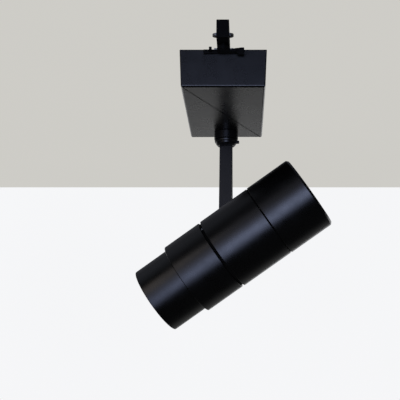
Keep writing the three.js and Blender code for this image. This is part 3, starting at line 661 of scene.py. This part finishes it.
bolt_frame = placed(PIVOT, ARM_NORMAL.cross(Vector((0, 0, 1))), ARM_NORMAL)
bolt = join(
    rod("y", 6.5, (4.9, 9.5), (0, 0), ROUND, 0.9),
    rod("y", 2.9, (-12, 5.9), (0, 0), SMALL, 0.3),
)
bolt = cut(bolt, rod("y", 2.9, (6.9, 10.5), (0, 0), HEX))
piece(bolt, "tilt_locking_bolt", "tilt_lock", "black_steel", bolt_frame, "tilt_bolt")
disc = lathe([(3.4, 4.0), (6.8, 3.3, 0.1), (6.8, 3.9, 0.1), (3.4, 4.6)], "y", ROUND)
piece(disc, "tilt_spring_disc", "arm", "bright_steel", bolt_frame, "tilt_disc_spring")

# ---------- Head shells ----------

NECK_RADIUS, NECK_BORE = 45.3, 42.6
BODY_FRONT, FLANGE_REAR = 104.7, 108
RING_RADIUS, BARREL_RADIUS, BARREL_MOUTH = 49, 44.5, 42
STOP_STATION, STOP_ANGLE = 103.15, 41

body_low, body_high = reach("body_shell", HEAD)
rear_low, rear_high = reach("rear_housing", HEAD)
ring_low, ring_high = reach("zoom_ring", HEAD)
barrel_low, barrel_high = reach("front_barrel", HEAD)

body_shell = lathe([
    (NECK_BORE, body_low.x, 0.2), (NECK_RADIUS, body_low.x, 0.3), (NECK_RADIUS, BODY_FRONT),
    (BODY_RADIUS, BODY_FRONT, 0.6), (BODY_RADIUS, body_high.x, 0.5), (46.2, body_high.x, 0.2),
    (46.2, FLANGE_REAR), (NECK_BORE, FLANGE_REAR),
])
piece(body_shell, "head_body", "head", "black_paint", HEAD, "body_shell")

# A matte black ring fills the floor of the groove between the zoom ring and the body, so the groove shows as
# a black band; that the real groove holds a seal is not known.
GROOVE_RING_FROM, GROOVE_RING_TO = ring_high.x + 0.15, BODY_FRONT - 0.15
dust_seal = lathe([(45.4, GROOVE_RING_FROM), (46.9, GROOVE_RING_FROM), (46.9, GROOVE_RING_TO), (45.4, GROOVE_RING_TO)])
piece(dust_seal, "groove_black_ring", "head", "black_rubber", HEAD, "dust_seal")

gasket = lathe([(46.5, 176.8, 0.2), (48.4, 176.8, 0.2), (48.4, 177.9, 0.2), (46.5, 177.9, 0.2)])
piece(gasket, "head_gasket", "head", "black_rubber", HEAD, "seal_ring")

rear_shell = lathe([
    (46.4, rear_low.x, 0.2), (49.8, rear_low.x, 0.5), (49.8, rear_high.x - 2.5, 1.2),
    (47.1, rear_high.x, 0.3), (46.4, rear_high.x, 0.1),
])
piece(rear_shell, "rear_sleeve", "head", "black_paint", HEAD, "rear_housing")

ring = lathe([
    (44.9, ring_low.x, 0.2), (RING_RADIUS, ring_low.x, 0.9),
    (RING_RADIUS, ring_high.x, 0.6), (45.7, ring_high.x, 0.2),
    (45.7, ring_high.x - 4), (46.2, ring_high.x - 4), (46.2, ring_low.x + 3), (44.9, ring_low.x + 3),
])
piece(ring, "zoom_sleeve", "zoom_ring", "black_paint", HEAD, "zoom_ring")

barrel = lathe([
    (42.6, barrel_low.x, 0.3), (BARREL_RADIUS, barrel_low.x, 0.7),
    (BARREL_RADIUS, barrel_high.x, 0.3), (BARREL_MOUTH, barrel_high.x, 0.2),
    (BARREL_MOUTH, 12.5), (40, 12.5, 0.2), (40, 10, 0.3), (42.6, 10),
])
pin_holes = [turned(rod("z", 2.3, (40, 47), (57, 0)), "X", angle) for angle in (30, 150, 270)]
piece(cut(barrel, *pin_holes), "lens_barrel", "front_barrel", "black_paint", HEAD, "front_barrel")

grub = lathe([(0, 45.6), (1.2, 45.6), (1.2, 48, 0.2), (0, 48)], "z", SMALL, (STOP_STATION, 0))
grub = cut(grub, rod("z", 0.6, (47.2, 49), (STOP_STATION, 0), HEX))
piece(turned(grub, "X", 90 - STOP_ANGLE), "stop_grub_screw", "head", "bright_steel", HEAD, "stop_screw")

# ---------- Rear end ----------

cap_low, cap_high = reach("rear_cap", HEAD)
cap = rod("x", 46, (cap_low.x, cap_high.x), (0, 0), FINE, 0.6)
SLOT_COUNT = 14
SLOT_OUTLINE = [(-2, 20, 1.99), (2, 20, 1.99), (2, 40, 1.99), (-2, 40, 1.99)]
slots = []
for k in range(SLOT_COUNT):
    slot = plate(SLOT_OUTLINE, (cap_low.x - 1, cap_high.x + 1), "x", 0)
    slots.append(turned(slot, "X", k * 360 / SLOT_COUNT))
cap_places = [(8.5 * math.cos(math.radians(a)), 8.5 * math.sin(math.radians(a))) for a in (90, 210, 330)]
cap = cut(cap, *slots, *[rod("x", 1.9, (cap_low.x - 1, cap_high.x + 1), place) for place in cap_places])
piece(cap, "vented_cap", "head", "black_paint", HEAD, "rear_cap")

for number, place in enumerate(cap_places, 1):
    seat = cap_high.x + 0.3
    screw = lathe([
        (0, seat), (2.8, seat, 0.1), (2.8, seat + 0.5, 0.4), (1.9, seat + 1.4, 0.3), (0, seat + 1.4),
    ], "x", SMALL, place)
    screw = join(screw, rod("x", 1.3, (228.5, seat + 0.5), place))
    screw = cut(screw, rod("x", 1.1, (seat + 0.3, seat + 3), place, HEX))
    piece(screw, f"cap_button_screw_{number}", "head", "black_steel", HEAD, f"cap_screw_{number}")

# ---------- Optics ----------


def lens_outline(radius, flat, edge, sag, steps=14):
    """A plano-convex lens: flat face at `flat`, rim `edge` thick, bulging by `sag` on the other side."""
    sphere = (radius * radius + sag * sag) / (2 * abs(sag))
    half = math.asin(radius / sphere)
    side = math.copysign(1, sag)
    curve = [(sphere * math.sin(half * (1 - k / steps)) if k < steps else 0,
              flat + edge + side * sphere * (math.cos(half * (1 - k / steps)) - math.cos(half)))
             for k in range(steps + 1)]
    return [(0, flat), (radius, flat, 0.15), *curve]


LENS_SHARP = 25
front_lens = lathe(lens_outline(41.6, 12.8, 3, 6))
piece(front_lens, "front_glass", "front_barrel", "lens_glass", HEAD, "front_lens", sharp=LENS_SHARP)
field_lens = lathe(lens_outline(39, 93.6, -3, -7))
piece(field_lens, "field_glass", "head", "lens_glass", HEAD, "field_lens", sharp=LENS_SHARP)

retainer = lathe([(39.4, 16.8, 0.3), (41.7, 16.8, 0.2), (41.7, 19.6, 0.2), (39.4, 19.6, 0.3)])
piece(retainer, "lens_retainer", "front_barrel", "black_plastic", HEAD, "lens_ring")

flutes = []
for k in range(12):
    station = 56 + k * 3
    flutes += [(39.4, station), (40.1, station + 0.6), (40.1, station + 1.4), (39.4, station + 2)]
guide = lathe([
    *flutes[::-1], (39.4, 54, 0.2), (41.6, 54, 0.3), (41.6, 108.3), (45.8, 108.3), (45.8, 111), (39.4, 111),
    (39.4, 96), (37.4, 96, 0.3), (37.4, 94, 0.3), (39.4, 94),
])
piece(guide, "fluted_guide", "head", "black_plastic", HEAD, "guide_tube")

curve = [(11 + 25 * math.sqrt(t), 143.6 - 29.6 * t) for t in (k / 24 for k in range(25))]
bowl = lathe([*curve, *[(r + 1.2, x) for r, x in reversed(curve)]])
piece(bowl, "reflector_bowl", "head", "mirror_coat", HEAD, "reflector")

holder = lathe([(9.8, 144, 0.3), (20, 144, 0.6), (20, 147.8, 0.3), (9.8, 147.8)], sides=MEDIUM)
piece(holder, "emitter_holder", "head", "pale_plastic", HEAD, "led_holder")
emitter = lathe([(0, 146.9), (8.2, 147.0, 0.3), (9, 147.4, 0.2), (9, 147.8), (0, 147.8)], sides=MEDIUM)
piece(emitter, "emitter_disc", "head", "phosphor", HEAD, "led_emitter")

# ---------- CAD nodes that stay ----------

replaced = {node for shape in bpy.data.objects for node in shape.get("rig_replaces", [])}
slots_by_node = {entry["node"]: entry["material_slot"] for entry in frame["record"]["subparts"]}
for node, shape in frame["nodes"].items():
    if node not in replaced:
        shape.data.materials.clear()
        shape.data.materials.append(MATERIALS[slots_by_node[node]])

# ---------- Stage ----------


def stage_sheet(name, corners, color, glow=0.0):
    """A flat sheet of the room. `glow` is how brightly it shines by itself."""
    bm = bmesh.new()
    bm.faces.new([bm.verts.new(corner) for corner in corners])
    sheet = new_object(bm, name)
    material, nodes, links, shader = new_material(name)
    where = nodes.new("ShaderNodeTexCoord").outputs["Object"]
    clouds = noise(nodes, links, where, 0.35, 2)
    tint = ramp(nodes, links, clouds, [(0.2, scaled(color, 0.975)), (0.8, color)])
    if glow:
        links.new(tint, shader.inputs["Emission Color"])
        shader.inputs["Emission Strength"].default_value = glow
        shader.inputs["Base Color"].default_value = (0, 0, 0, 1)
        shader.inputs["Specular IOR Level"].default_value = 0
    else:
        links.new(tint, shader.inputs["Base Color"])
    shader.inputs["Roughness"].default_value = 0.9
    sheet.data.materials.append(material)
    return sheet


WALL_Y, CEILING_Z, FLOOR_Z = 6.4, 1.402, -1.6
SIDE = 9.0
CEILING_START = -0.2
stage_sheet("wall", [
    (-SIDE, WALL_Y, FLOOR_Z), (SIDE, WALL_Y, FLOOR_Z), (SIDE, WALL_Y, CEILING_Z), (-SIDE, WALL_Y, CEILING_Z),
], (0.93, 0.935, 0.95), 1.0)
ceiling = stage_sheet("ceiling", [
    (-SIDE, CEILING_START, CEILING_Z), (SIDE, CEILING_START, CEILING_Z),
    (SIDE, WALL_Y, CEILING_Z), (-SIDE, WALL_Y, CEILING_Z),
], (0.62, 0.61, 0.575), 1.0)
floor = stage_sheet("floor", [
    (-SIDE, -SIDE, FLOOR_Z), (SIDE, -SIDE, FLOOR_Z), (SIDE, WALL_Y, FLOOR_Z), (-SIDE, WALL_Y, FLOOR_Z),
], (0.8, 0.8, 0.79), 0.7)
for hidden in (floor, ceiling):
    hidden.visible_glossy = False

# The studio around the object: a dim even room with a few soft bright areas.
# What the camera sees of it directly is a pale backdrop.
world = bpy.data.worlds.new("studio")
bpy.context.scene.world = world
world.use_nodes = True
room_nodes, room_links = world.node_tree.nodes, world.node_tree.links
heading = room_nodes.new("ShaderNodeTexCoord").outputs["Generated"]


def vector_math(operation, *values):
    node = room_nodes.new("ShaderNodeVectorMath")
    node.operation = operation
    for socket, value in zip(node.inputs, values):
        if isinstance(value, bpy.types.NodeSocket):
            room_links.new(value, socket)
        else:
            socket.default_value = value
    return node


def soft_area(azimuth, elevation, inner, outer, color):
    """Light from around one direction, full within `inner` degrees and gone at `outer`; azimuth 0 is -Y."""
    turn, rise = math.radians(azimuth), math.radians(elevation)
    towards = (math.sin(turn) * math.cos(rise), -math.cos(turn) * math.cos(rise), math.sin(rise))
    near = vector_math("DOT_PRODUCT", heading, towards).outputs["Value"]
    fade = room_nodes.new("ShaderNodeMapRange")
    fade.interpolation_type = "SMOOTHERSTEP"
    fade.inputs["From Min"].default_value = math.cos(math.radians(outer))
    fade.inputs["From Max"].default_value = math.cos(math.radians(inner))
    room_links.new(near, fade.inputs["Value"])
    tint = room_nodes.new("ShaderNodeVectorMath")
    tint.operation = "SCALE"
    tint.inputs[0].default_value = color
    room_links.new(fade.outputs["Result"], tint.inputs["Scale"])
    return tint.outputs["Vector"]


# Azimuth, elevation, inner and outer angle, color.
SOFT_AREAS = [
    (-1, -8.5, 4, 24, (1.85, 2.15, 3.35)),
    (-34, 13, 2, 24, (0.36, 0.36, 0.42)),
    (-20, 2, 0, 15, (0.75, 0.8, 1.1)),
    (-92, 36, 2, 28, (0.15, 0.16, 0.19)),
    (-150, 35, 5, 45, (0.07, 0.07, 0.08)),
    (180, 80, 10, 75, (0.05, 0.055, 0.07)),
    (180, -22, 0, 56, (0.19, 0.19, 0.19)),
]
total = None
for area in SOFT_AREAS:
    glow = soft_area(*area)
    total = vector_math("ADD", total, glow).outputs["Vector"] if total is not None else glow
total = vector_math("ADD", total, (0.02, 0.021, 0.021)).outputs["Vector"]
backdrop = room_nodes.new("ShaderNodeMix")
backdrop.data_type = "RGBA"
backdrop.inputs["B"].default_value = (0.74, 0.74, 0.73, 1)
room_links.new(room_nodes.new("ShaderNodeLightPath").outputs["Is Camera Ray"], backdrop.inputs["Factor"])
room_links.new(total, backdrop.inputs["A"])
room_links.new(backdrop.outputs["Result"], room_nodes["Background"].inputs["Color"])


def area_light(name, place, size, watts, color):
    """A soft rectangular light aimed at the middle of the object."""
    light = bpy.data.lights.new(name, "AREA")
    light.shape = "RECTANGLE"
    light.size, light.size_y = size
    light.energy = watts
    light.color = color
    lamp = bpy.data.objects.new(name, light)
    bpy.context.scene.collection.objects.link(lamp)
    lamp.location = place
    middle = (cad_low + cad_high) / 2
    lamp.rotation_euler = (middle - Vector(place)).to_track_quat("-Z", "Y").to_euler()
    lamp.visible_camera = False
    return lamp


area_light("window", (-0.12, -3.0, -0.64), (1.0, 0.8), 5.5, (0.62, 0.72, 1.0))
area_light("side_fill", (-0.35, -0.42, -0.11), (0.2, 0.2), 0.09, (1.0, 0.86, 0.74))
